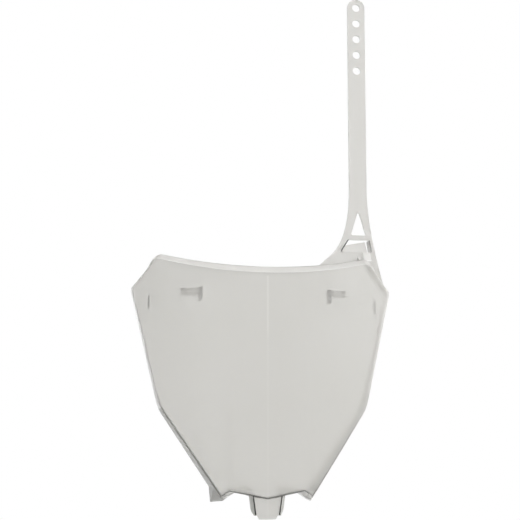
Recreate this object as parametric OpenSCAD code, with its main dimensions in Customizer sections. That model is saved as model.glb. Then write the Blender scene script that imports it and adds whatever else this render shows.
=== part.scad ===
// Racing number board for the front of an off-road motorbike.
// One thin moulding: a bowed six-sided face with a deep edge all round, a tab below it,
// two cable hooks and two finger ribs behind it, and a long buttoned strap above one shoulder.
// Millimetres, +Z up, the rider's view of the road is along -Y, so -Y is the front.
// The origin is the middle of the rear side of the bottom tab.

/* [Face] */
// Width across the two side tips
face_w = 243; // [225:1:280]
// Height of the side tips above the bottom point
tip_z = 190; // [170:1:200]
// Height of the short upright at each tip
tip_flat = 3; // [2:0.5:6]
// Width across the two upper shoulders
shoulder_w = 200; // [180:2:210]
// Height of the top edge on the centre line
top_z = 205; // [200:1:220]
// Radius of the hollow in the top edge
top_r = 385; // [300:5:700]
// Width across the two side bends
kink_w = 192; // [170:2:200]
// Height of the side bends
kink_z = 82; // [60:1:100]
// Width across the two lower corners
foot_w = 84; // [78:1:96]
// Height of the lower corners
foot_z = 2; // [0:0.5:4]
// Width across the two notches of the bottom edge
notch_w = 69; // [60:1:72]
// Height of the two notches of the bottom edge
notch_z = 7; // [5:0.5:10]
// Rounding of the shoulders and of the side bends
bend_r = 7; // [3:0.5:10]

/* [Section] */
// Radius of the bow of each half of the face
bow_r = 330; // [290:5:420]
// Shift of each half's centre, which raises the ridge on the centre line
ridge = 6; // [0:1:12]
// Wall of the face and of its edge
wall = 2; // [1.6:0.1:3]
// Depth from the ridge to the rear rim
rim_y = 37; // [34:1:48]
// Slope that breaks the top edge, its height and its depth alike, on the centre line
bevel = 6; // [4:0.5:8]
// The same slope at the shoulders
bevel_end = 5; // [3:0.5:6]
// Width across each shoulder over which that slope runs out, two thirds of it beyond
fade = 15; // [9:1:18]
// Broken edge along the sides and the bottom
edge = 0.8; // [0.5:0.1:1.2]

/* [Bottom edge] */
// Width of the open channel above the tab
channel_w = 27; // [22:1:32]
// Height of the rim beside the channel
shelf_in_z = 9.5; // [8:0.5:14]
// Height of the rim at the notches
shelf_out_z = 7; // [5:0.5:10]
// Slope that breaks the edge between each notch and its lower corner
foot_slope = 4; // [2:0.5:5]
// Width across the rim's two lower corners
rim_foot_w = 94; // [90:1:100]
// Height of the rim's lower corners
rim_foot_z = -4; // [-6:0.5:-2]
// Wall of the two cheeks beside the channel
cheek_t = 2; // [1.6:0.1:3]
// Depth of the two cheeks
cheek_d = 28; // [20:1:30]

/* [Tab] */
// Width of the tab at its root, between its lips
tab_w = 27; // [22:0.5:32]
// Width of the tab at its lower end, between its lips
tab_end_w = 22; // [18:0.5:26]
// Length of the tab below the bottom point
tab_l = 15; // [10:0.5:24]
// Thickness of the tab
tab_t = 2.4; // [1.6:0.1:3]
// Spread and depth of its two side lips
lip = 3.3; // [2:0.1:5]
// Length of the thin tongue at its end
tongue_l = 3.4; // [2:0.2:6]
// Width of the tongue at its end
tongue_w = 15; // [10:0.5:17]
// Thickness of the tongue
tongue_t = 1.2; // [0.8:0.1:1.6]

/* [Cable hooks] */
// Distance between the two hook stems
hook_gap = 119; // [100:1:130]
// Height of the top of the hooks
hook_z = 191; // [180:1:195]
// Height of each stem
stem_h = 12.5; // [10:0.5:16]
// Wall of the hooks
hook_t = 2; // [1.4:0.1:2.4]
// Reach of each finger from its stem
finger_l = 16; // [12:0.5:20]
// Height of each finger
finger_h = 6; // [5:0.5:9]
// Free depth between the face and a finger
hook_free = 8; // [6:0.5:10]
// Depth of the rails along a finger and of its lip
rail_d = 3; // [2:0.5:4]

/* [Finger ribs] */
// Distance of each rib inside its side tip
rib_in = 14.5; // [12.5:0.5:21.5]
// Height of the lower end of the ribs
rib_z = 170; // [160:1:172]
// Length of the ribs
rib_l = 15.5; // [10:0.5:18]
// Thickness of the ribs
rib_t = 1; // [0.8:0.1:1.4]
// Depth of the ribs
rib_d = 2.5; // [1.5:0.5:4]
// Diameter of the round end of the ribs
rib_end_d = 2.4; // [1.8:0.2:3]

/* [Strap] */
// Distance of the strap's middle inside its side tip, across
strap_in = 26.5; // [23.5:0.5:31.5]
// Width of the strap
strap_w = 17; // [14:0.5:20]
// Thickness of the strap and of its root
strap_t = 3; // [2.4:0.1:4]
// Height of the uppermost hole
strap_top_z = 475; // [420:1:520]
// Number of holes
hole_n = 5; // [3:1:7]
// Distance between the holes
hole_pitch = 16; // [14:0.5:20]
// Diameter of the holes
hole_d = 8; // [6:0.5:9]
// Height above the slot where the strap starts to widen into its root
root_h = 62; // [53:1:75]
// Height above the slot at which the root's outer edge, drawn on, meets the strap's side
outer_h = 22; // [15:1:40]
// Reach of the root from the strap's middle towards the centre line
root_reach = 44; // [35:1:55]
// Rise of the root's straight inner leg, in degrees
leg_rise = 41; // [36:1:44]
// Length of the straight inner leg
leg_l = 22; // [15:1:28]
// Set-back of the strap's rear side from the rim
strap_back = 0.5; // [0.3:0.1:1]

/* [Strap root] */
// Height of the slot's lower edge above the middle of the top edge
slot_up = 26; // [23:0.5:28]
// Height of the slot
slot_h = 12; // [10:0.5:13]
// Width of the slot at its upper edge
slot_top_w = 20.5; // [16:0.5:21]
// Shift of the slot's upper edge away from the centre line
slot_skew = 3; // [1:0.5:3.5]
// Width of the slot at its lower edge
slot_low_w = 30; // [24:0.5:31]
// Distance of the slot's lower edge from the strap's middle, towards the centre line
slot_shift = 2.5; // [0:0.5:4]
// Height of the bar between the slot and the upper hole
bar_h = 4.6; // [3:0.1:6]
// Width of the three-sided hole at its base
tri_w = 15; // [10:0.5:15.5]
// Height of the three-sided hole
tri_h = 25; // [16:0.5:27]
// Rounding of the corners of both openings
open_r = 1.2; // [0.6:0.1:1.6]
// Depth of the ramp behind the slot
ramp_d = 9; // [6:0.5:12]
// Rise of the ramp
ramp_h = 12; // [8:0.5:13]
// Free gap between the ramp and the slot's outer side
ramp_gap = 3.4; // [2.6:0.2:5]
// Thickness of the ramp
ramp_t = 2.4; // [1.8:0.1:3]
// Share of the ramp's rise along which its inner side follows the slot
ramp_side = 0.6; // [0.4:0.05:0.8]
// Thickness of the guide along the slot's outer side, as deep as the ramp
guide_t = 1.6; // [1.2:0.1:2]
// Diameter of the button's neck
neck_d = 3.4; // [2.8:0.2:4]
// Diameter of the button's head
head_d = 5; // [4.6:0.2:5.2]
// Thickness of the button's head
head_t = 2.4; // [1.6:0.1:3]
// Free length of the neck, for the strap
neck_l = 5; // [4:0.5:7]
// Height of the button above the slope of the top edge
button_z = 2.9; // [2.8:0.1:4]
// Width of the wedge beside the slot
wedge_w = 7; // [5:0.5:9]
// Distance of the wedge's outer side from the slot's lower corner
wedge_in = 1.5; // [0.5:0.5:3]
// Height of the wedge's slope
wedge_h = 9; // [6:0.5:12]
// Depth of the wedge
wedge_d = 7; // [4:0.5:8]

/* [Hidden] */
$fn = 64;

// Depth by which a feature is sunk into the wall that carries it
bite = 1;
tip_x = face_w / 2;
shoulder_x = shoulder_w / 2;
kink_x = kink_w / 2;
foot_x = foot_w / 2;
notch_x = notch_w / 2;
// Room between a shoulder and its side tip, which limits what bends or runs out there
outer_room = tip_x - shoulder_x;
tip_hi = tip_z + tip_flat / 2;
tip_lo = tip_z - tip_flat / 2;
shoulder_z = hollow(shoulder_x);
// Half of a slope's turn, which carries a wall round it at one thickness
turn = tan(22.5);
// Least length of the inner wall behind a small broken edge
step = 0.4;

tab_y = wall + tab_t - bite;
tab_mid = tab_l / 2;

strap_x = tip_x - strap_in;
root_x = strap_x - root_reach;
strap_y1 = rim_y - strap_back;
strap_y0 = strap_y1 - strap_t;
slot_x = strap_x - slot_shift;
slot_z = top_z + slot_up;
root_z = slot_z + root_h;
outer_z = slot_z + outer_h;
bar_z = slot_z + slot_h;
tri_z = bar_z + bar_h;

color_board = [0.83, 0.84, 0.82];

// Depth of the front surface behind the ridge at a distance from the centre line
function bow(x) = let (a = abs(x) + ridge)
    sqrt(bow_r * bow_r - ridge * ridge) - sqrt(bow_r * bow_r - a * a);

function between(a, b, t) = a + (b - a) * t;

// Height at x of the line through two points
function line_at(p, q, x) = p[1] + (q[1] - p[1]) * (x - p[0]) / (q[0] - p[0]);

// The lower or the higher of two lines, with the corner between them rounded
function low_of(a, b, r) = min(a, b) - pow(max(r - abs(a - b), 0), 2) / (4 * r);
function high_of(a, b, r) = -low_of(-a, -b, r);

// The hollow of the top edge, as an arc
function hollow(x) = top_z + top_r - sqrt(top_r * top_r - x * x);

function top_line(x) = let (a = abs(x))
    low_of(hollow(a), line_at([shoulder_x, shoulder_z], [tip_x, tip_hi], a), bend_r);

function bottom_line(x) = let (a = abs(x))
    a <= notch_x ? notch_z * a / notch_x
    : a <= foot_x ? line_at([notch_x, notch_z], [foot_x, foot_z], a)
    : high_of(line_at([foot_x, foot_z], [kink_x, kink_z], a),
              line_at([kink_x, kink_z], [tip_x, tip_lo], a), bend_r);

// Stations from the centre line to a tip, closer together round the bends
bend_x0 = kink_x - bend_r;
bend_x1 = shoulder_x + min(bend_r, outer_room / 2);
half = concat(
    [for (i = [1:6]) notch_x * i / 6],
    [for (i = [1:2]) between(notch_x, foot_x, i / 2)],
    [for (i = [1:8]) between(foot_x, bend_x0, i / 8)],
    [for (i = [1:9]) between(bend_x0, bend_x1, i / 9)],
    [for (i = [1:4]) between(bend_x1, tip_x, i / 4)]
);
last = len(half) - 1;
stations = concat([for (i = [last:-1:0]) -half[i]], [0], half);
m = len(stations);
n = 2 * m;

// The outline runs along the bottom from left to right and back along the top
outline = concat(
    [for (i = [0:m - 1]) [stations[i], bottom_line(stations[i])]],
    [for (i = [m - 1:-1:0]) [stations[i], top_line(stations[i])]]
);

// Outward normal of the edge between two points of a ring
function normal(p, q) = let (d = q - p) [d[1], -d[0]] / norm(d);

// Direction and length by which a corner moves when its edges move out by one
function mitre(ring, i) = let (
    a = normal(ring[(i + n - 1) % n], ring[i]),
    b = normal(ring[i], ring[(i + 1) % n])
) (a + b) / (1 + a * b);

// Point at which a corner lands when its two edges move out by different sizes
function skewed(ring, i, out_a, out_b) = let (
    a = normal(ring[(i + n - 1) % n], ring[i]),
    b = normal(ring[i], ring[(i + 1) % n]),
    c = a * b
) ring[i] + ((out_a - out_b * c) * a + (out_b - out_a * c) * b) / (1 - c * c);

// Size of the top edge's slope at a distance from the centre line
function brow(a) = let (
    level = between(bevel, bevel_end, pow(min(a / shoulder_x, 1), 2)),
    gone = min(max((a - shoulder_x) / min(fade, outer_room * 3 / 2) + 1 / 3, 0), 1)
) between(level, edge, (1 - cos(180 * gone)) / 2);

// Size of the slope at a point of the outline
function slope(i) = let (a = abs(outline[i][0]))
    i >= m ? brow(a)
    : a > notch_x && a < foot_x ? foot_slope
    : edge;

// Where the edge turns back: outward and behind the outline by the slope
notch_i = [for (i = [0:m - 1]) if (abs(outline[i][0]) == notch_x) i];
foot_i = [for (i = [0:m - 1]) if (abs(outline[i][0]) == foot_x) i];
turned = [for (i = [0:n - 1])
    i == foot_i[0] || i == notch_i[1] ? skewed(outline, i, edge, foot_slope)
    : i == foot_i[1] || i == notch_i[0] ? skewed(outline, i, foot_slope, edge)
    : outline[i] + slope(i) * mitre(outline, i)];

// The rim keeps that ring, apart from the raised shelves and the dropped lower corners
rim_foot = [rim_foot_w / 2, rim_foot_z];
function rim_shelf(a) = line_at([channel_w / 2, shelf_in_z], [notch_x, shelf_out_z], max(a, channel_w / 2));
function rim_point(i) = let (p = turned[i], a = abs(outline[i][0]))
    i >= m ? p
    : a <= notch_x ? [p[0], rim_shelf(a)]
    : a < foot_x ? [sign(p[0]) * (notch_x + rim_foot[0]) / 2, (foot_z + rim_foot_z) / 2]
    : a == foot_x ? [sign(p[0]) * rim_foot[0], rim_foot_z]
    : [sign(p[0]) * max(abs(p[0]), rim_foot[0]), p[1]];
rim = [for (i = [0:n - 1]) rim_point(i)];

// A ring of points in space from a plane ring and a depth for each point
function lift(ring, depth) = [for (i = [0:n - 1]) [ring[i][0], depth[i], ring[i][1]]];
function inset(ring, by) = [for (i = [0:n - 1]) ring[i] - by[i] * mitre(ring, i)];

front_y = [for (i = [0:n - 1]) bow(outline[i][0])];
rings = concat(
    lift(outline, front_y),
    lift(turned, [for (i = [0:n - 1]) front_y[i] + slope(i)]),
    lift(rim, [for (i = [0:n - 1]) rim_y]),
    lift(inset(rim, [for (i = [0:n - 1]) wall]), [for (i = [0:n - 1]) rim_y]),
    lift(inset(turned, [for (i = [0:n - 1]) wall]),
         [for (i = [0:n - 1]) front_y[i] + max(wall + step, slope(i) + wall * turn)]),
    lift(inset(outline, [for (i = [0:n - 1]) max(wall * turn, wall - slope(i))]),
         [for (i = [0:n - 1]) front_y[i] + wall])
);

// Band of triangles from one ring to the next
function band(k) = [for (i = [0:n - 1]) let (j = (i + 1) % n, a = k * n, b = (k + 1) * n)
    each [[a + i, a + j, b + j], [a + i, b + j, b + i]]];

// Upright strips that close the first and the last ring
function cap_front() = [for (i = [0:m - 2]) let (t = n - 1 - i)
    each [[i, t, t - 1], [i, t - 1, i + 1]]];
function cap_back(k) = [for (i = [0:m - 2]) let (s = k * n, t = s + n - 1 - i)
    each [[s + i, t - 1, t], [s + i, s + i + 1, t - 1]]];

module shell() {
    difference() {
        polyhedron(rings, concat(cap_front(), band(0), band(1), band(2), band(3), band(4), cap_back(5)));
        channel();
    }
}

// The bottom edge is left open behind the tab, as far as the two cheeks
module channel() {
    translate([-channel_w / 2, wall + bow(channel_w / 2) + bite / 2, -edge - wall])
        cube([channel_w, rim_y, shelf_in_z + edge + 3 * wall]);
}

// Extrudes a plane shape, drawn across and upward, from one depth to another
module slab(y0, y1) {
    translate([0, y1, 0])
        rotate([90, 0, 0])
            linear_extrude(height = y1 - y0)
                children();
}

// Points of a polygon whose corners are rounded to one radius
function corner(p, q, s, r) = let (
    u = (p - q) / norm(p - q),
    v = (s - q) / norm(s - q),
    half_angle = acos(u * v) / 2,
    c = q + (u + v) / norm(u + v) * r / sin(half_angle),
    a = q + u * r / tan(half_angle) - c,
    b = q + v * r / tan(half_angle) - c
) [for (i = [0:5]) let (w = a * (1 - i / 5) + b * i / 5) c + w / norm(w) * r];
function rounded(pts, r) = let (k = len(pts))
    [for (i = [0:k - 1]) each corner(pts[(i + k - 1) % k], pts[i], pts[(i + 1) % k], r)];

// Points of a curve from p to q that leaves and meets its ends towards c
function curve(p, c, q, steps) = [for (i = [0:steps]) let (t = i / steps)
    p * pow(1 - t, 2) + c * 2 * t * (1 - t) + q * t * t];

module cheek() {
    translate([channel_w / 2, wall, bottom_line(channel_w / 2) - edge])
        cube([cheek_t, cheek_d, shelf_in_z - bottom_line(channel_w / 2) + edge]);
}

// Outline of the tab's plate, whose sides lie inside the roots of the lips
tab_in = bite / 2;
tab_outline = [
    [tab_in - tab_w / 2, bottom_line(tab_w / 2) + bite],
    [tab_in - tab_end_w / 2, -tab_l],
    [tab_end_w / 2 - tab_in, -tab_l],
    [tab_w / 2 - tab_in, bottom_line(tab_w / 2) + bite],
    [0, bite]
];

// Side lip of the tab, a strip that leans outward and back
module tab_lip() {
    top = bottom_line(tab_w / 2) + bite;
    lean = atan((tab_w - tab_end_w) / 2 / (tab_l + top));
    intersection() {
        translate([tab_end_w / 2, tab_y - tab_t, -tab_l])
            rotate([0, lean, 0])
                translate([0, 0, -tab_l])
                    linear_extrude(height = 3 * tab_l + top)
                        polygon([[-bite, 0], [0, 0], [lip, lip], [lip, lip + tab_t * turn],
                                 [lip - tab_t * turn, lip + tab_t * turn], [-bite, tab_t]]);
        slab(0, tab_y + 2 * lip)
            polygon([[0, top], [0, -tab_l], [tab_end_w / 2 + lip / 3, -tab_l],
                     [tab_end_w / 2 + lip, -tab_l + lip], [tab_w / 2 + 2 * lip, top]]);
    }
}

module tab() {
    slab(tab_y - tab_t, tab_y)
        polygon(tab_outline);
    tab_lip();
    mirror([1, 0, 0])
        tab_lip();
    slab(tab_y - tongue_t, tab_y)
        polygon([[-tab_end_w / 2 + bite, -tab_l + bite], [-tongue_w / 2, -tab_l - tongue_l],
                 [tongue_w / 2, -tab_l - tongue_l], [tab_end_w / 2 - bite, -tab_l + bite]]);
}

// Plan of a strip behind the face that follows its bow, from a stem outward
function finger_plan(x0, x1, y0, y1) = [
    [x0, bow(x0) + y0], [x1, bow(x1) + y0], [x1, bow(x1) + y1], [x0, bow(x0) + y1]
];

module upright(z, h, plan) {
    translate([0, 0, z])
        linear_extrude(height = h)
            polygon(plan);
}

// Hook for a cable: a stem off the face and a railed finger that points outward
module hook() {
    x0 = hook_gap / 2;
    x1 = x0 + hook_t + finger_l;
    y1 = wall + hook_free;
    z0 = hook_z - finger_h;
    intersection() {
        upright(hook_z - stem_h, stem_h, finger_plan(x0, x0 + hook_t, wall - bite, y1 + hook_t));
        slab(0, rim_y)
            polygon([[x0, hook_z], [x0, hook_z - stem_h + hook_t],
                     [x0 + hook_t, hook_z - stem_h], [x0 + hook_t, hook_z]]);
    }
    upright(z0, finger_h, finger_plan(x0, x1, y1, y1 + hook_t));
    upright(z0, finger_h, finger_plan(x1 - hook_t, x1, y1 - rail_d, y1 + hook_t));
    for (z = [z0, hook_z - hook_t])
        upright(z, hook_t, finger_plan(x0, x1, y1, y1 + hook_t + rail_d));
}

// Thin upright rib behind a side tip, with a round post at each end
module rib() {
    x0 = tip_x - rib_in;
    y0 = bow(x0) + wall - bite;
    depth = rib_d + bite;
    translate([x0 - rib_t / 2, y0, rib_z])
        cube([rib_t, depth, rib_l]);
    for (z = [rib_z, rib_z + rib_l])
        translate([x0, y0, z])
            rotate([-90, 0, 0])
                cylinder(d = rib_end_d, h = depth);
}

module both_sides() {
    children();
    mirror([1, 0, 0])
        children();
}

// Foot of the strap's root, sunk into the rim from the root's reach to the tip
foot_ring = inset(rim, [for (i = [0:n - 1]) bite]);
foot_line = [for (i = [n - 1:-1:m]) if (outline[i][0] > root_x && outline[i][0] < tip_x) foot_ring[i]];
foot_start = [root_x, hollow(root_x) + brow(root_x) - bite];
foot_end = foot_ring[m];

leg = [cos(leg_rise), sin(leg_rise)];
leg_end = foot_start + leg_l * leg;
leg_meets = foot_start + (strap_x - strap_w / 2 - root_x) / leg[0] * leg;

strap_outline = concat(
    curve([strap_x - strap_w / 2, root_z], leg_meets, leg_end, 12),
    [foot_start],
    foot_line,
    curve(foot_end, [strap_x + strap_w / 2, outer_z], [strap_x + strap_w / 2, root_z], 14)
);

slot_outline = rounded([
    [slot_x - slot_low_w / 2, slot_z],
    [slot_x + slot_low_w / 2, slot_z],
    [slot_x + slot_top_w / 2 + slot_skew, bar_z],
    [slot_x - slot_top_w / 2 + slot_skew, bar_z]
], open_r);

tri_outline = rounded([
    [strap_x - tri_w / 2, tri_z],
    [strap_x + tri_w / 2, tri_z],
    [strap_x, tri_z + tri_h]
], open_r);

module strap() {
    difference() {
        slab(strap_y0, strap_y1)
            union() {
                polygon(strap_outline);
                translate([strap_x - strap_w / 2, root_z - bite])
                    square([strap_w, strap_top_z - root_z + bite]);
                translate([strap_x, strap_top_z])
                    circle(d = strap_w);
            }
        slab(strap_y0 - 1, strap_y1 + 1)
            polygon(slot_outline);
        slab(strap_y0 - 1, strap_y1 + 1)
            polygon(tri_outline);
        for (i = [0:hole_n - 1])
            translate([strap_x, strap_y1 + 1, strap_top_z - i * hole_pitch])
                rotate([90, 0, 0])
                    cylinder(d = hole_d, h = strap_t + 2);
    }
}

// Ramp behind the slot that leads the strap's tail through it
module ramp() {
    x0 = slot_x - slot_low_w / 2 - bite;
    x1 = slot_x + slot_low_w / 2 - ramp_gap;
    low_side = ramp_h * ramp_side;
    side = ((slot_low_w - slot_top_w) / 2 + slot_skew) / slot_h;
    intersection() {
        translate([x0, 0, 0])
            rotate([90, 0, 90])
                linear_extrude(height = x1 - x0)
                    polygon([[strap_y1 - bite, slot_z - ramp_t], [strap_y1 + ramp_d, slot_z + ramp_h - ramp_t],
                             [strap_y1 + ramp_d, slot_z + ramp_h], [strap_y1 - bite, slot_z]]);
        slab(strap_y0, strap_y1 + 2 * ramp_d)
            polygon([[x0, slot_z - 2 * ramp_t], [x1, slot_z - 2 * ramp_t],
                     [x1, slot_z + ramp_h], [x0 + side * low_side, slot_z + low_side], [x0, slot_z]]);
    }
}

// Guide along the slot's outer side, between the leg that carries it and the ramp's free end
module guide() {
    low = [slot_x + slot_low_w / 2, slot_z];
    high = [slot_x + slot_top_w / 2 + slot_skew, bar_z];
    slab(strap_y1 - bite, strap_y1 + ramp_d)
        polygon([low, high, high + [guide_t, 0], low + [guide_t, 0]]);
}

// Button that the strap's holes slip over
module button() {
    z = hollow(strap_x) + brow(strap_x) + button_z;
    translate([strap_x, strap_y0 + bite, z])
        rotate([90, 0, 0])
            cylinder(d = neck_d, h = neck_l + bite + head_t);
    translate([strap_x, strap_y0 - neck_l, z])
        rotate([90, 0, 0])
            cylinder(d = head_d, h = head_t);
}

// Wedge that stiffens the strap's outer leg on the shoulder
module wedge() {
    x1 = slot_x + slot_low_w / 2 - wedge_in;
    x0 = x1 - wedge_w;
    low = top_line(x1);
    intersection() {
        translate([x0, 0, 0])
            rotate([90, 0, 90])
                linear_extrude(height = wedge_w)
                    polygon([[strap_y0 + bite, low], [strap_y0 + bite, slot_z], [strap_y0, slot_z],
                             [strap_y0 - wedge_d, slot_z - wedge_h], [strap_y0 - wedge_d, low]]);
        slab(0, rim_y)
            polygon(concat(foot_line, [[tip_x, slot_z], [root_x, slot_z]]));
    }
}

module number_board() {
    color(color_board)
        translate([0, -tab_y, tab_mid]) {
            shell();
            both_sides() {
                cheek();
                hook();
                rib();
            }
            tab();
            strap();
            ramp();
            guide();
            button();
            wedge();
        }
}

number_board();
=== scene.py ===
"""Studio scene of a racing number board: one thin moulding of hazy clear plastic."""

import logging
import math
from dataclasses import dataclass, field, replace
from enum import Enum
from typing import Any

import bpy
from mathutils import Matrix, Vector


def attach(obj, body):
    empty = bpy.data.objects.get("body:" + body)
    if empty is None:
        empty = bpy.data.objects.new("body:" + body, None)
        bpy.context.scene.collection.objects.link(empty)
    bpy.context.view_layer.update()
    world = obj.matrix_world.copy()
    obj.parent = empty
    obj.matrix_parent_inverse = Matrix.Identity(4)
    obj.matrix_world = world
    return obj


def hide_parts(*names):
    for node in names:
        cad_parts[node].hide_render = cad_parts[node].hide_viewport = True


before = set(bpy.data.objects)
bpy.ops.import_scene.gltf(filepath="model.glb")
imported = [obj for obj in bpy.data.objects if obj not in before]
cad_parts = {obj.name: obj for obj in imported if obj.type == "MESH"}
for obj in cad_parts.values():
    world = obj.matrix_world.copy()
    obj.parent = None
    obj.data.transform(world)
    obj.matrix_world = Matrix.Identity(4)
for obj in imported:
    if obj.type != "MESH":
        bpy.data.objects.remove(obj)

Colour = tuple[float, float, float, float]

LOG = logging.getLogger("number_board_scene")
NODE = "number_board"
MM = 0.001
# A reach in millimetres that is larger than the face's bow
ALL_WALLS = 400.0
MORE_THAN = {"data_type": "FLOAT", "operation": "GREATER_THAN"}


def linear(colour: str) -> Colour:
    """Turn an sRGB hex colour to Blender's linear values.

    Args:
        colour: A colour such as "#d0d1cc".

    Returns:
        Red, green, blue and an alpha of one.
    """
    parts = [int(colour[i:i + 2], 16) / 255 for i in (1, 3, 5)]
    light = [c / 12.92 if c <= 0.04045 else ((c + 0.055) / 1.055) ** 2.4 for c in parts]
    return (light[0], light[1], light[2], 1.0)


def add_node(tree: bpy.types.NodeTree, kind: str, settings: dict[str, Any] | None = None,
             inputs: dict[Any, Any] | None = None) -> bpy.types.Node:
    """Add one node with its settings, values and links.

    Args:
        tree: The tree that gets the node.
        kind: The node's Blender type name.
        settings: Attributes of the node.
        inputs: A value or another node's output socket for each input.

    Returns:
        The new node.
    """
    node = tree.nodes.new(kind)
    for name, value in (settings or {}).items():
        setattr(node, name, value)
    for name, value in (inputs or {}).items():
        if isinstance(value, bpy.types.NodeSocket):
            tree.links.new(value, node.inputs[name])
        else:
            node.inputs[name].default_value = value
    return node


def empty_material(name: str) -> tuple[bpy.types.Material, bpy.types.NodeTree]:
    """Start a node material.

    Args:
        name: The material's name.

    Returns:
        The material and its empty tree.
    """
    made = bpy.data.materials.new(name)
    made.use_nodes = True
    made.node_tree.nodes.clear()
    return made, made.node_tree


def seen_by_camera(tree: bpy.types.NodeTree) -> bpy.types.NodeSocket:
    """Mark the camera's rays, and those that a gloss or clear plastic sends on.

    Args:
        tree: The tree that gets the nodes.

    Returns:
        A socket that is one for such a ray and zero for all others.
    """
    path = add_node(tree, "ShaderNodeLightPath").outputs
    seen = path["Is Camera Ray"]
    for other in ("Is Glossy Ray", "Is Transmission Ray"):
        seen = add_node(tree, "ShaderNodeMath", {"operation": "MAXIMUM"}, {
            0: seen, 1: path[other]}).outputs[0]
    return seen


class Wall(Enum):
    """Which painted light or shade a wall of the moulding gets; each value is its place among the skin's
    materials.
    """

    OPEN = 0  # The plain plastic
    PAINTED_DARK = 1  # Painted shade: dark where the wall is seen along its length
    SHADED = 2  # Painted shade, for walls in the shade of those beside them
    CLEAR = 3  # Painted light: a lighter, clearer copy of the plastic
    BRIGHT = 4  # Painted light, for walls turned up to the light
    DIM = 5  # Painted half shade


@dataclass(frozen=True)
class HazyPolypropylene:
    """Natural polypropylene, injection moulded and left uncoloured.

    Its crystals scatter light, so a thin wall looks like pale milk glass: what lies close behind
    the face shows through it, and what lies far behind it blurs away. The index is lower than the
    plastic's own 1.49, as matched to the photograph, where the walls shift little of what lies
    behind them.
    """

    name: str = "polypropylene_natural_moulded"
    body_colour: str = "#dcdbd8"
    clear: float = 0.65
    roughness: float = 0.3
    ior: float = 1.3
    scatter: float = 1.0
    scatter_mm: float = 2.0
    # Slow clouds, where the melt cooled a little sooner or later
    cloud_colour: str = "#d8d7d3"
    cloud_mm: float = 60.0
    cloud_detail: float = 2.0
    cloud_roughness: float = 0.5
    # Fine texture of the tool; the real one is finer than a render can show
    grain_mm: float = 1.6
    grain_height_mm: float = 0.012
    grain_strength: float = 0.5
    grain_detail: float = 1.0
    grain_roughness: float = 0.4
    # Painted highlight: a light line on the ridge, faint in its lower part
    ridge_highlight_colour: str = "#f6f5f2"
    line_core_mm: float = 0.6
    line_mm: float = 1.2
    line_low_mm: float = 150.0
    line_high_mm: float = 162.0
    line_top_mm: float = 209.5
    line_faint: float = 0.1
    line_strength: float = 0.35

    def material(self) -> bpy.types.Material:
        """Build the node material.

        Returns:
            The finished material.
        """
        made, tree = empty_material(self.name)
        place = add_node(tree, "ShaderNodeTexCoord").outputs["Object"]
        cloud = add_node(tree, "ShaderNodeTexNoise", {"noise_dimensions": "3D"}, {
            "Vector": place, "Scale": 1.0 / (self.cloud_mm * MM), "Detail": self.cloud_detail,
            "Roughness": self.cloud_roughness})
        tint = add_node(tree, "ShaderNodeMix", {"data_type": "RGBA"}, {
            "Factor": cloud.outputs["Fac"], "A": linear(self.cloud_colour),
            "B": linear(self.body_colour)})
        where = add_node(tree, "ShaderNodeSeparateXYZ", None, {"Vector": place})
        aside = add_node(tree, "ShaderNodeMath", {"operation": "ABSOLUTE"}, {0: where.outputs["X"]})
        near = add_node(tree, "ShaderNodeMapRange", None, {
            "Value": aside.outputs[0], "From Min": self.line_core_mm * MM,
            "From Max": self.line_mm * MM, "To Min": 1.0, "To Max": 0.0})
        high = add_node(tree, "ShaderNodeMapRange", None, {
            "Value": where.outputs["Z"], "From Min": self.line_low_mm * MM,
            "From Max": self.line_high_mm * MM, "To Min": self.line_faint, "To Max": self.line_strength})
        below = add_node(tree, "ShaderNodeMath", {"operation": "LESS_THAN"}, {
            0: where.outputs["Z"], 1: self.line_top_mm * MM})
        line = add_node(tree, "ShaderNodeMath", {"operation": "MULTIPLY"}, {
            0: near.outputs["Result"], 1: high.outputs["Result"]})
        line = add_node(tree, "ShaderNodeMath", {"operation": "MULTIPLY"}, {
            0: line.outputs[0], 1: below.outputs[0]})
        painted_ridge_highlight = add_node(tree, "ShaderNodeMix", {"data_type": "RGBA"}, {
            "Factor": line.outputs[0], "A": tint.outputs["Result"], "B": linear(self.ridge_highlight_colour)})
        grain = add_node(tree, "ShaderNodeTexNoise", {"noise_dimensions": "3D"}, {
            "Vector": place, "Scale": 1.0 / (self.grain_mm * MM), "Detail": self.grain_detail,
            "Roughness": self.grain_roughness})
        bump = add_node(tree, "ShaderNodeBump", None, {
            "Height": grain.outputs["Fac"], "Distance": self.grain_height_mm * MM,
            "Strength": self.grain_strength})
        shader = add_node(tree, "ShaderNodeBsdfPrincipled", None, {
            "Base Color": painted_ridge_highlight.outputs["Result"], "Roughness": self.roughness, "IOR": self.ior,
            "Transmission Weight": self.clear, "Subsurface Weight": self.scatter,
            "Subsurface Radius": (1.0, 1.0, 1.0), "Subsurface Scale": self.scatter_mm * MM,
            "Normal": bump.outputs["Normal"]})
        add_node(tree, "ShaderNodeOutputMaterial", None, {"Surface": shader.outputs["BSDF"]})
        return made


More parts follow.
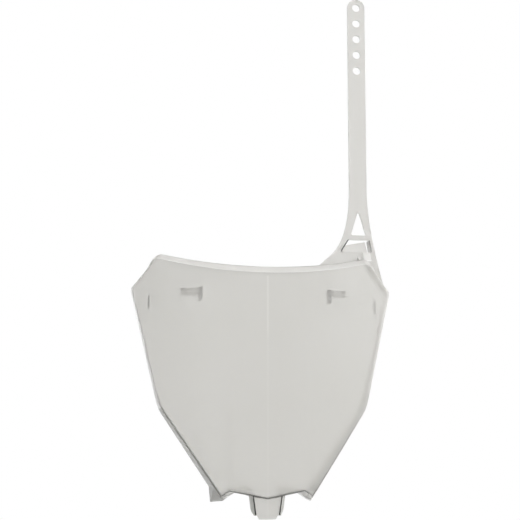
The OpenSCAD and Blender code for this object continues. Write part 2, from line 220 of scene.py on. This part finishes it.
@dataclass(frozen=True)
class DarkEdge:
    """Painted shade: the same plastic in a dark colour, for where it is seen along a wall or round a
    small radius.
    """

    name: str = "polypropylene_edge_painted_shade"
    colour: str = "#33322f"
    deep_colour: str = "#22211f"
    uneven_mm: float = 12.0
    uneven_detail: float = 1.0
    cover: float = 0.85
    roughness: float = 0.5

    def material(self) -> bpy.types.Material:
        """Build the node material.

        Returns:
            The finished material.
        """
        made, tree = empty_material(self.name)
        place = add_node(tree, "ShaderNodeTexCoord").outputs["Object"]
        uneven = add_node(tree, "ShaderNodeTexNoise", {"noise_dimensions": "3D"}, {
            "Vector": place, "Scale": 1.0 / (self.uneven_mm * MM), "Detail": self.uneven_detail})
        tint = add_node(tree, "ShaderNodeMix", {"data_type": "RGBA"}, {
            "Factor": uneven.outputs["Fac"], "A": linear(self.deep_colour),
            "B": linear(self.colour)})
        shader = add_node(tree, "ShaderNodeBsdfPrincipled", None, {
            "Base Color": tint.outputs["Result"], "Roughness": self.roughness, "Alpha": self.cover})
        add_node(tree, "ShaderNodeOutputMaterial", None, {"Surface": shader.outputs["BSDF"]})
        return made


@dataclass(frozen=True)
class Tone:
    """The painted light or shade that sets one kind of wall apart from the plain plastic."""

    name: str
    colour: str
    clear: float


@dataclass(frozen=True)
class WallZone:
    """A box in which the walls get their own painted light or shade; in millimetres.

    Only the walls nearer than clear_r to the axis of the face's bow belong to it. That is inside
    the bow, so behind the face, or all walls where ALL_WALLS is given. A wall counts as turned
    where its normal has more than the upward or the sideways share of the height or the width.
    """

    in_x: float
    out_x: float
    low_z: float
    high_z: float
    turned: Wall
    facing: Wall
    upward: float = 0.7
    sideways: float = 0.7
    clear_r: float = 327.2
    either_side: bool = False
    bow_axis: tuple[float, float] = (6.0, 326.55)

    def wall(self, centre: Vector, normal: Vector) -> Wall | None:
        """Tell which painted light or shade one face of the skin gets.

        Args:
            centre: The middle of the face, in metres.
            normal: The face's outward direction.

        Returns:
            The face's painted light or shade, or None where it lies outside the box.
        """
        x, y, z = (centre.x / MM, centre.y / MM, centre.z / MM)
        aside = abs(x) if self.either_side else x
        inside = self.in_x < aside < self.out_x and self.low_z < z < self.high_z
        if not inside or math.hypot(abs(x) + self.bow_axis[0], y - self.bow_axis[1]) > self.clear_r:
            return None
        turned = abs(normal.z) > self.upward or abs(normal.x) > self.sideways
        return self.turned if turned else self.facing


@dataclass(frozen=True)
class EdgeLine:
    """A run of small radii on the moulding, drawn as a thin bead of painted shade, or of painted
    highlight where light is set.

    Sizes are in millimetres. The line follows the edges in the box from low to high whose faces
    meet at an angle between the two given, and whose normal has at least facing_min of its length
    along facing. The box is taken at either side of the board, or at the left alone where side is
    -1, or at the right alone where it is 1. The bead's radius goes from thick_r at the height of
    the origin to thin_r at thin_z and above.
    """

    low: tuple[float, float, float]
    high: tuple[float, float, float]
    angles_deg: tuple[float, float]
    facing: tuple[float, float, float]
    facing_min: float
    thick_r: float
    thin_r: float
    light: bool = False
    side: float = 0.0
    thin_z: float = 120.0


@dataclass(frozen=True)
class StudioPaper:
    """Seamless white paper, matt, which the camera sees as plain white outside the shadow."""

    name: str = "studio_paper_white"
    colour: str = "#a8a8a6"
    lift: float = 0.7

    def material(self) -> bpy.types.Material:
        """Build the paper's material.

        Returns:
            The finished material.
        """
        made, tree = empty_material(self.name)
        glow = add_node(tree, "ShaderNodeMath", {"operation": "MULTIPLY"}, {
            0: seen_by_camera(tree), 1: self.lift})
        paper = add_node(tree, "ShaderNodeBsdfDiffuse", None, {"Color": linear(self.colour)})
        light = add_node(tree, "ShaderNodeEmission", None, {"Strength": glow.outputs[0]})
        both = add_node(tree, "ShaderNodeAddShader", None, {0: paper.outputs[0], 1: light.outputs[0]})
        add_node(tree, "ShaderNodeOutputMaterial", None, {"Surface": both.outputs[0]})
        return made


@dataclass
class MouldedBoard:
    """The board's visible skin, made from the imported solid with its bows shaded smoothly."""

    finish: HazyPolypropylene = field(default_factory=HazyPolypropylene)
    # Painted shade: dark beads along the edges
    painted_edge_shade: DarkEdge = field(default_factory=DarkEdge)
    # Painted shade on the hooks' walls seen along their length
    painted_wall_shade: DarkEdge = DarkEdge("polypropylene_wall_painted_shade", "#7d7c77", "#686762")
    # Lit and shaded copies of the same natural polypropylene: painted light and shade for how the walls
    # around it let the light reach and leave it
    painted_tones: dict[Wall, Tone] = field(default_factory=lambda: {
        Wall.SHADED: Tone("polypropylene_natural_in_shade", "#bcbcb8", 0.3),
        Wall.CLEAR: Tone("polypropylene_natural_painted_light", "#f5f4f2", 0.9),
        Wall.BRIGHT: Tone("polypropylene_natural_painted_top_light", "#dfdedb", 0.65),
        Wall.DIM: Tone("polypropylene_natural_half_shade", "#d0d0cc", 0.45),
    })
    # Painted highlight on a small radius that turns the light of the whole wall to the eye
    painted_glint: Tone = Tone("polypropylene_edge_painted_highlight", "#ffffff", 0.0)
    # Where the painted light and shade go: hooks, ribs, the tab's lips, the strap, the top slope, then
    # the walls behind the face;
    # the first zone that holds a wall decides, and a share above one turns its test off
    zones: tuple[WallZone, ...] = (
        WallZone(57.0, 80.0, 176.0, 201.0, Wall.PAINTED_DARK, Wall.CLEAR, either_side=True),
        WallZone(104.0, 110.0, 174.0, 197.0, Wall.SHADED, Wall.CLEAR, either_side=True),
        WallZone(10.0, 20.0, -12.0, 8.0, Wall.DIM, Wall.OPEN, 2.0, 0.3, ALL_WALLS, True),
        WallZone(45.0, 115.0, 222.0, 500.0, Wall.BRIGHT, Wall.BRIGHT),
        WallZone(-115.0, 115.0, 205.0, 240.0, Wall.BRIGHT, Wall.OPEN, 0.3, 2.0, ALL_WALLS),
        WallZone(12.0, 125.0, -5.0, 200.0, Wall.CLEAR, Wall.CLEAR),
        WallZone(-38.0, -12.0, -5.0, 30.0, Wall.CLEAR, Wall.CLEAR),
        WallZone(-125.0, -20.0, 89.5, 200.0, Wall.CLEAR, Wall.CLEAR),
        WallZone(-125.0, -20.0, 42.0, 89.5, Wall.DIM, Wall.DIM),
        WallZone(-125.0, -20.0, -5.0, 42.0, Wall.SHADED, Wall.SHADED),
    )
    weld_mm: float = 0.002
    crease_deg: float = 22.0
    bead_sides: int = 8
    # Depth of a bead's middle below the edge, as a share of its radius
    sink: float = 1.03
    # Beads of painted shade, and of painted highlight where light is set
    lines: dict[str, EdgeLine] = field(default_factory=lambda: {
        "lower_edge_left": EdgeLine(
            (-1, -5, -8), (123, 40, 195), (14, 69), (0, -1, 0), 0.85, 0.74, 0.05, side=-1.0,
            thin_z=95.0),
        "lower_edge_right": EdgeLine(
            (-1, -5, -8), (123, 40, 195), (14, 69), (0, -1, 0), 0.85, 0.74, 0.2, side=1.0),
        "left_rim": EdgeLine(
            (30, 33, -8), (125, 36, 195), (60, 120), (-0.7, 0.7, 0), 0.8, 0.3, 0.12, side=-1.0),
        "top_edge": EdgeLine(
            (-1, 3, 207), (115, 40, 235), (23, 69), (0, -0.38, 0.92), 0.9, 0.3, 0.3),
        "slope_foot": EdgeLine(
            (-1, -5, 200), (115, 40, 235), (23, 69), (0, -0.92, 0.38), 0.9, 0.55, 0.55, light=True),
        "slot_inner": EdgeLine(
            (76, 29, 238.7), (86, 31, 251), (60, 120), (0.7, -0.7, 0), 0.8, 0.55, 0.55),
        "slot_outer": EdgeLine(
            (100, 29, 238.7), (110, 31, 251), (60, 120), (-0.7, -0.7, 0), 0.8, 0.2, 0.2),
        "tab_lips": EdgeLine(
            (9, -3, -8), (15, -2, 10.5), (40, 50), (0, -1, 0), 0.7, 0.75, 0.75),
        "rib_back_left": EdgeLine(
            (104, 17, 177), (110, 22, 193), (60, 120), (0, 1, 0), 0.8, 0.18, 0.18, side=-1.0),
        "rib_back_right": EdgeLine(
            (104, 17, 177), (110, 22, 193), (60, 120), (0, 1, 0), 0.8, 0.24, 0.24, side=1.0),
        "hook_tops": EdgeLine(
            (57, 5, 184), (80, 24, 200), (60, 120), (0, 0, 1), 0.55, 0.32, 0.32),
        "hook_stems": EdgeLine(
            (57, 5, 176), (64, 24, 199), (60, 120), (0, 1, 0), 0.55, 0.28, 0.28),
    })

    def skin_tree(self, material: bpy.types.Material) -> bpy.types.NodeTree:
        """Build the tree that welds the solid's triangles and keeps its real edges sharp.

        Args:
            material: The plastic that the skin gets.

        Returns:
            The Geometry Nodes tree, with named inputs for the weld and the crease.
        """
        tree = bpy.data.node_groups.new("moulded_skin", "GeometryNodeTree")
        tree.interface.new_socket("Solid", in_out="INPUT", socket_type="NodeSocketGeometry")
        tree.interface.new_socket("Weld", in_out="INPUT", socket_type="NodeSocketFloat")
        tree.interface.new_socket("Crease", in_out="INPUT", socket_type="NodeSocketFloat")
        tree.interface.new_socket("Skin", in_out="OUTPUT", socket_type="NodeSocketGeometry")
        given = add_node(tree, "NodeGroupInput")
        weld = add_node(tree, "GeometryNodeMergeByDistance", None, {
            "Geometry": given.outputs["Solid"], "Distance": given.outputs["Weld"]})
        angle = add_node(tree, "GeometryNodeInputMeshEdgeAngle")
        sharp = add_node(tree, "FunctionNodeCompare", MORE_THAN, {
            0: angle.outputs["Unsigned Angle"], 1: given.outputs["Crease"]})
        smooth = add_node(tree, "GeometryNodeSetShadeSmooth", {"domain": "FACE"}, {
            "Geometry": weld.outputs["Geometry"], "Shade Smooth": True})
        edges = add_node(tree, "GeometryNodeSetShadeSmooth", {"domain": "EDGE"}, {
            "Geometry": smooth.outputs["Geometry"], "Selection": sharp.outputs["Result"],
            "Shade Smooth": False})
        real = add_node(tree, "GeometryNodeRealizeInstances", None, {
            "Geometry": edges.outputs["Geometry"]})
        dressed = add_node(tree, "GeometryNodeSetMaterial", None, {
            "Geometry": real.outputs["Geometry"], "Material": material})
        add_node(tree, "NodeGroupOutput", None, {"Skin": dressed.outputs["Geometry"]})
        return tree

    def line_tree(self, material: bpy.types.Material) -> bpy.types.NodeTree:
        """Build the tree that lays a thin bead of painted shade or highlight just inside the edges that
        lie in a box.

        Args:
            material: The material of the beads.

        Returns:
            The Geometry Nodes tree, with named inputs for what an EdgeLine holds.
        """
        tree = bpy.data.node_groups.new("edge_line", "GeometryNodeTree")
        tree.interface.new_socket("Solid", in_out="INPUT", socket_type="NodeSocketGeometry")
        for name in ("Low", "High", "Facing"):
            tree.interface.new_socket(name, in_out="INPUT", socket_type="NodeSocketVector")
        for name in ("Weld", "Angle Min", "Angle Max", "Facing Min", "Thick", "Thin", "Thin Z",
                     "Side"):
            tree.interface.new_socket(name, in_out="INPUT", socket_type="NodeSocketFloat")
        tree.interface.new_socket("Line", in_out="OUTPUT", socket_type="NodeSocketGeometry")
        given = add_node(tree, "NodeGroupInput").outputs
        weld = add_node(tree, "GeometryNodeMergeByDistance", None, {
            "Geometry": given["Solid"], "Distance": given["Weld"]}).outputs["Geometry"]
        place = add_node(tree, "GeometryNodeInputPosition").outputs["Position"]
        normal = add_node(tree, "GeometryNodeInputNormal").outputs["Normal"]
        angle = add_node(tree, "GeometryNodeInputMeshEdgeAngle").outputs["Unsigned Angle"]
        toward = add_node(tree, "ShaderNodeVectorMath", {"operation": "DOT_PRODUCT"}, {
            0: normal, 1: given["Facing"]}).outputs["Value"]
        split = add_node(tree, "ShaderNodeSeparateXYZ", None, {"Vector": place}).outputs
        aside = add_node(tree, "ShaderNodeMath", {"operation": "ABSOLUTE"}, {0: split["X"]})
        spot = add_node(tree, "ShaderNodeCombineXYZ", None, {
            "X": aside.outputs[0], "Y": split["Y"], "Z": split["Z"]}).outputs["Vector"]
        sideways = add_node(tree, "ShaderNodeMath", {"operation": "MULTIPLY"}, {
            0: split["X"], 1: given["Side"]})
        pairs = [(angle, given["Angle Min"]), (given["Angle Max"], angle),
                 (toward, given["Facing Min"]), (sideways.outputs[0], -self.weld_mm * MM)]
        for more, less in ((spot, given["Low"]), (given["High"], spot)):
            past = add_node(tree, "ShaderNodeVectorMath", {"operation": "SUBTRACT"}, {0: more, 1: less})
            apart = add_node(tree, "ShaderNodeSeparateXYZ", None, {"Vector": past.outputs["Vector"]})
            pairs += [(apart.outputs[axis], 0.0) for axis in "XYZ"]
        chosen: Any = True
        for bigger, smaller in pairs:
            test = add_node(tree, "FunctionNodeCompare", MORE_THAN, {0: bigger, 1: smaller})
            chosen = add_node(tree, "FunctionNodeBooleanMath", {"operation": "AND"}, {
                0: chosen, 1: test.outputs["Result"]}).outputs[0]
        radius = add_node(tree, "ShaderNodeMapRange", None, {
            "Value": split["Z"], "From Min": 0.0, "From Max": given["Thin Z"],
            "To Min": given["Thick"], "To Max": given["Thin"]}).outputs["Result"]
        inward = add_node(tree, "ShaderNodeMath", {"operation": "MULTIPLY"}, {
            0: radius, 1: -self.sink})
        sink = add_node(tree, "ShaderNodeVectorMath", {"operation": "SCALE"}, {
            0: normal, "Scale": inward.outputs[0]})
        kept = weld
        for name, kind, value in (("sink", "FLOAT_VECTOR", sink.outputs["Vector"]),
                                  ("bead", "FLOAT", radius)):
            kept = add_node(tree, "GeometryNodeStoreNamedAttribute", {
                "data_type": kind, "domain": "POINT"}, {
                "Geometry": kept, "Name": name, "Value": value}).outputs["Geometry"]
        run = add_node(tree, "GeometryNodeMeshToCurve", None, {"Mesh": kept, "Selection": chosen})
        sunk = add_node(tree, "GeometryNodeInputNamedAttribute", {"data_type": "FLOAT_VECTOR"}, {
            "Name": "sink"})
        thick = add_node(tree, "GeometryNodeInputNamedAttribute", {"data_type": "FLOAT"}, {
            "Name": "bead"})
        moved = add_node(tree, "GeometryNodeSetPosition", None, {
            "Geometry": run.outputs["Curve"], "Offset": sunk.outputs["Attribute"]})
        ring = add_node(tree, "GeometryNodeCurvePrimitiveCircle", {"mode": "RADIUS"}, {
            "Resolution": self.bead_sides, "Radius": 1.0})  # Scaled by each point's own radius
        bead = add_node(tree, "GeometryNodeCurveToMesh", None, {
            "Curve": moved.outputs["Geometry"], "Profile Curve": ring.outputs["Curve"],
            "Scale": thick.outputs["Attribute"], "Fill Caps": True})
        real = add_node(tree, "GeometryNodeRealizeInstances", None, {"Geometry": bead.outputs["Mesh"]})
        dressed = add_node(tree, "GeometryNodeSetMaterial", None, {
            "Geometry": real.outputs["Geometry"], "Material": material})
        add_node(tree, "NodeGroupOutput", None, {"Line": dressed.outputs["Geometry"]})
        return tree

    def grow(self, solid: bpy.types.Object, name: str, tree: bpy.types.NodeTree,
             values: dict[str, Any]) -> bpy.types.Object:
        """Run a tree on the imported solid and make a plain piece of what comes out.

        Args:
            solid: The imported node's object.
            name: The name of the new piece.
            tree: The Geometry Nodes tree.
            values: The tree's named inputs.

        Returns:
            The new piece, at the origin and without modifiers.
        """
        source = bpy.data.objects.new(f"{name}_source", solid.data.copy())
        bpy.context.scene.collection.objects.link(source)
        source.data.materials.clear()
        modifier = source.modifiers.new(tree.name, "NODES")
        modifier.node_group = tree
        names = {item.name: item.identifier for item in tree.interface.items_tree
                 if item.in_out == "INPUT"}
        for key, value in values.items():
            modifier[names[key]] = value
        graph = bpy.context.evaluated_depsgraph_get()
        mesh = bpy.data.meshes.new_from_object(source.evaluated_get(graph), depsgraph=graph)
        mesh.name = name
        bpy.data.objects.remove(source)
        piece = bpy.data.objects.new(name, mesh)
        bpy.context.scene.collection.objects.link(piece)
        LOG.info("%s: %d points, %d faces", name, len(mesh.vertices), len(mesh.polygons))
        return piece

    def toned(self, tone: Tone) -> bpy.types.Material:
        """Build the plastic with the painted light or shade of one kind of wall.

        Args:
            tone: What sets the wall apart.

        Returns:
            The plain plastic's material with that tone.
        """
        return replace(self.finish, name=tone.name, clear=tone.clear, body_colour=tone.colour,
                       cloud_colour=tone.colour).material()

    def build_skin(self, solid: bpy.types.Object) -> None:
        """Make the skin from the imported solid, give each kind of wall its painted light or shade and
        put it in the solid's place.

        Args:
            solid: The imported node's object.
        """
        plain = self.finish.material()
        skin = self.grow(solid, "board_skin", self.skin_tree(plain), {
            "Weld": self.weld_mm * MM, "Crease": math.radians(self.crease_deg)})
        skin.data.materials.append(self.painted_wall_shade.material())
        # In the order of Wall, whose values are the places of the materials
        for wall in sorted(self.painted_tones, key=lambda kind: kind.value):
            skin.data.materials.append(self.toned(self.painted_tones[wall]))
        for face in skin.data.polygons:
            found = [zone.wall(face.center, face.normal) for zone in self.zones]
            face.material_index = next((wall for wall in found if wall), Wall.OPEN).value
        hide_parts(NODE)
        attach(skin, "root")
        solid.data.materials.clear()
        solid.data.materials.append(plain)

    def build_lines(self, solid: bpy.types.Object) -> None:
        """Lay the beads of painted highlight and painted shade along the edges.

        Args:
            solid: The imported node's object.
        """
        trees = {True: self.line_tree(self.toned(self.painted_glint)),
                 False: self.line_tree(self.painted_edge_shade.material())}
        for name, line in self.lines.items():
            least, most = (math.radians(angle) for angle in line.angles_deg)
            piece = self.grow(solid, name, trees[line.light], {
                "Low": [v * MM for v in line.low], "High": [v * MM for v in line.high],
                "Facing": list(line.facing), "Facing Min": line.facing_min,
                "Angle Min": least, "Angle Max": most, "Weld": self.weld_mm * MM,
                "Thick": line.thick_r * MM, "Thin": line.thin_r * MM,
                "Thin Z": line.thin_z * MM, "Side": line.side})
            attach(piece, "root")


@dataclass(frozen=True)
class SoftLight:
    """One soft panel light."""

    name: str
    place: tuple[float, float, float]
    size: float
    power: float
    colour: str = "#ffffff"


@dataclass
class Studio:
    """The floor, the soft lights, the white surround and the camera; in metres."""

    aim: tuple[float, float, float] = (-0.00727, -0.0034, 0.2237)
    distance: float = 1.196
    yaw_deg: float = 10.13
    rise_deg: float = 8.23
    lens_mm: float = 90.0
    sensor_mm: float = 36.0
    floor_z: float = -0.30
    floor_r: float = 4.0
    floor_sides: int = 96
    # The surround lights the board most from this side; the two limits are cosines from it
    bright_side: tuple[float, float, float] = (0.3, -0.6, 0.74)
    dim_from: float = -0.5
    bright_from: float = 0.9
    sky: float = 1.0
    ground: float = 0.15
    paper: StudioPaper = field(default_factory=StudioPaper)
    lights: tuple[SoftLight, ...] = (
        SoftLight("key_right", (1.3, -0.9, 0.9), 0.9, 12.0),
        SoftLight("top", (0.1, -0.1, 1.6), 0.9, 8.0),
        SoftLight("fill_front", (-0.4, -1.6, 0.5), 1.0, 5.0),
    )

    def build_floor(self) -> bpy.types.Object:
        """Lay the round paper floor.

        Returns:
            The floor's object.
        """
        turns = [2 * math.pi * i / self.floor_sides for i in range(self.floor_sides)]
        ring = [(self.floor_r * math.cos(a), self.floor_r * math.sin(a), self.floor_z) for a in turns]
        mesh = bpy.data.meshes.new("floor")
        mesh.from_pydata(ring, [], [tuple(range(self.floor_sides))])
        mesh.materials.append(self.paper.material())
        floor = bpy.data.objects.new("floor", mesh)
        bpy.context.scene.collection.objects.link(floor)
        return floor

    def build_lights(self) -> None:
        """Hang each soft light and turn it to the board."""
        target = Vector(self.aim)
        for light in self.lights:
            data = bpy.data.lights.new(light.name, "AREA")
            data.shape = "SQUARE"
            data.size = light.size
            data.energy = light.power
            data.color = linear(light.colour)[:3]
            lamp = bpy.data.objects.new(light.name, data)
            lamp.location = light.place
            lamp.rotation_euler = (target - lamp.location).to_track_quat("-Z", "Y").to_euler()
            bpy.context.scene.collection.objects.link(lamp)

    def build_world(self) -> None:
        """Surround the board with white that lights it less than the camera sees."""
        world = bpy.data.worlds.new("studio_white")
        bpy.context.scene.world = world
        world.use_nodes = True
        tree = world.node_tree
        tree.nodes.clear()
        way = add_node(tree, "ShaderNodeTexCoord").outputs["Generated"]
        lit = add_node(tree, "ShaderNodeVectorMath", {"operation": "DOT_PRODUCT"}, {
            0: way, 1: self.bright_side})
        strength = add_node(tree, "ShaderNodeMapRange", None, {
            "Value": lit.outputs["Value"], "From Min": self.dim_from, "From Max": self.bright_from,
            "To Min": self.ground, "To Max": self.sky})
        dim = add_node(tree, "ShaderNodeBackground", None, {
            "Color": linear("#ffffff"), "Strength": strength.outputs["Result"]})
        white = add_node(tree, "ShaderNodeBackground", None, {
            "Color": linear("#ffffff"), "Strength": 1.0})
        both = add_node(tree, "ShaderNodeMixShader", None, {
            0: seen_by_camera(tree), 1: dim.outputs[0], 2: white.outputs[0]})
        add_node(tree, "ShaderNodeOutputWorld", None, {"Surface": both.outputs[0]})

    def build_camera(self) -> bpy.types.Object:
        """Set up the camera, low and to the left, as the photograph was taken.

        Returns:
            The camera's object.
        """
        yaw, rise = math.radians(self.yaw_deg), math.radians(self.rise_deg)
        look = Vector((math.sin(yaw) * math.cos(rise), math.cos(yaw) * math.cos(rise), math.sin(rise)))
        right = Vector((math.cos(yaw), -math.sin(yaw), 0.0))
        up = right.cross(look)
        data = bpy.data.cameras.new("camera")
        data.lens, data.sensor_width = self.lens_mm, self.sensor_mm
        camera = bpy.data.objects.new("camera", data)
        turn = Matrix((right, up, -look)).transposed().to_4x4()
        camera.matrix_world = Matrix.Translation(Vector(self.aim) - self.distance * look) @ turn
        bpy.context.scene.collection.objects.link(camera)
        bpy.context.scene.camera = camera
        return camera


def main() -> None:
    """Build the board and its studio, and report each piece."""
    logging.basicConfig(level=logging.INFO, format="%(name)s: %(message)s")
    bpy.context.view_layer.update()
    board, solid = MouldedBoard(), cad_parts[NODE]
    board.build_skin(solid)
    board.build_lines(solid)
    studio = Studio()
    studio.build_floor()
    studio.build_lights()
    studio.build_world()
    studio.build_camera()
    bpy.context.scene.view_settings.view_transform = "Standard"
    LOG.info("studio ready")


if __name__ == "__main__":
    main()
